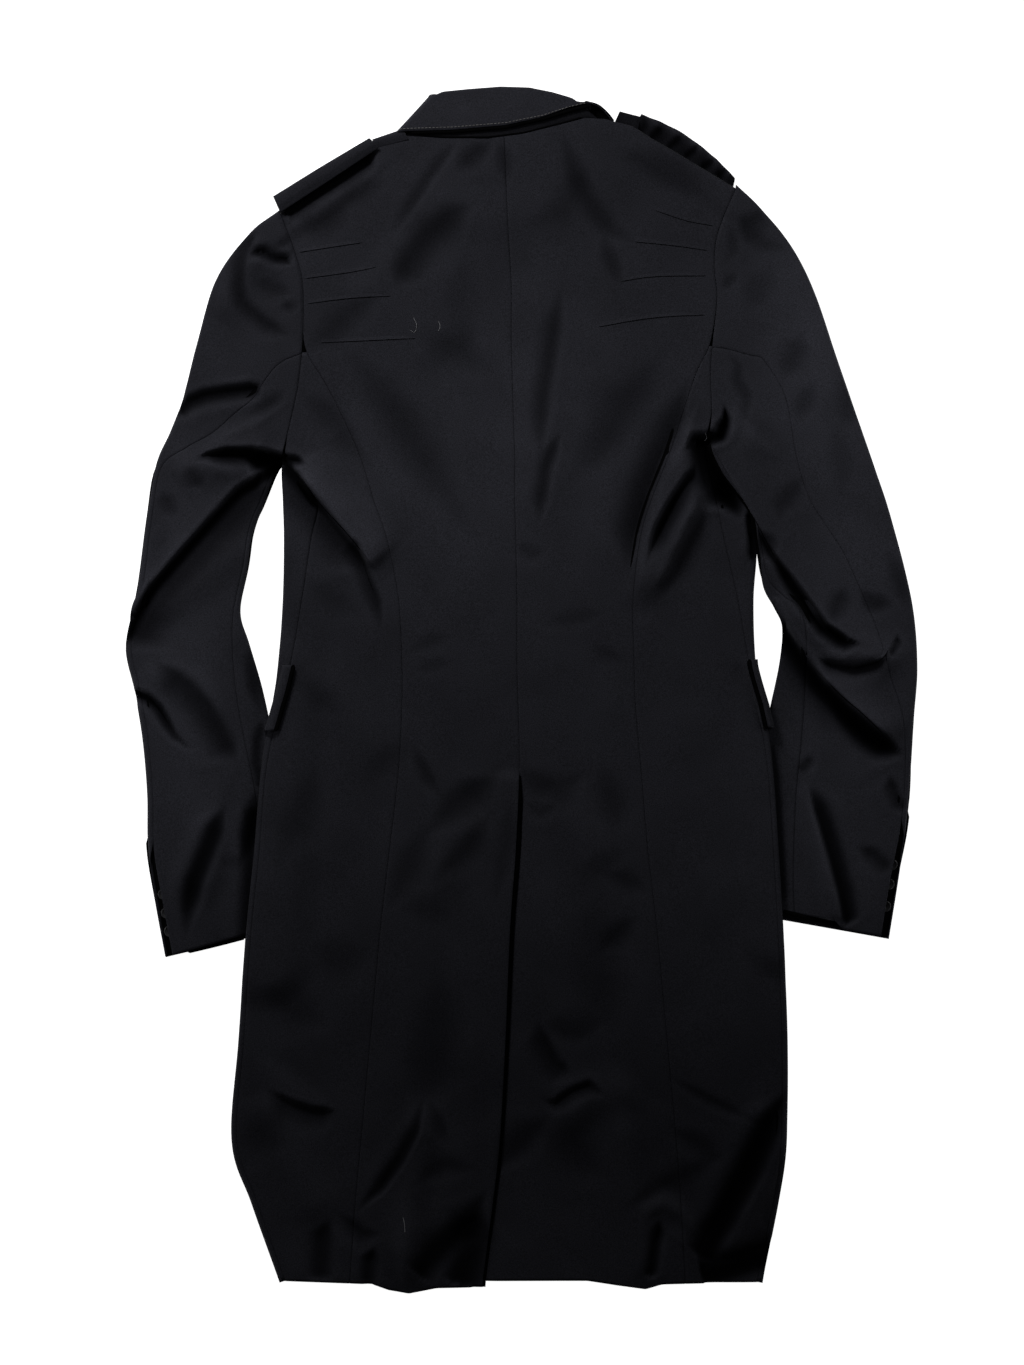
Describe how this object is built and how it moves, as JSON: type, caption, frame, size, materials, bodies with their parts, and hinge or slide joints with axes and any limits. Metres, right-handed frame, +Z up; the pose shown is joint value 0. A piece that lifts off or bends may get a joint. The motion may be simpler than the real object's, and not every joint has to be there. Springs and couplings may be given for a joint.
{
  "type": "trench coat",
  "caption": "Long single-breasted trench coat in black twill, lying flat with its back up: shirt collar, epaulettes, princess seams, back vent and open cuff vents.",
  "frame": {"origin": "centre of the box round the coat, on the surface that it rests on", "axes": "+X to the coat's right as seen from above (its right sleeve), +Y from the hem to the collar, +Z up from the surface. The back faces up."},
  "size_m": [0.6933, 1.0592, 0.0185],
  "materials": {
    "twill": "matte twill with a slight sheen",
    "horn": "satin"
  },
  "bodies": {
    "root": {"back_left": "twill", "side_back_left": "twill", "front_left": "twill", "undersleeve_left": "twill", "topsleeve_left": "twill", "epaulette_left": "twill", "keeper_left": "twill", "pocket_flap_left": "twill", "cuff_button_left_1": "horn", "cuff_button_left_2": "horn", "cuff_button_left_3": "horn", "back_right": "twill", "side_back_right": "twill", "front_right": "twill", "undersleeve_right": "twill", "topsleeve_right": "twill", "epaulette_right": "twill", "keeper_right": "twill", "pocket_flap_right": "twill", "cuff_button_right_1": "horn", "cuff_button_right_2": "horn", "cuff_button_right_3": "horn", "collar_stand": "twill", "collar_fall": "twill"}
  },
  "joints": []
}
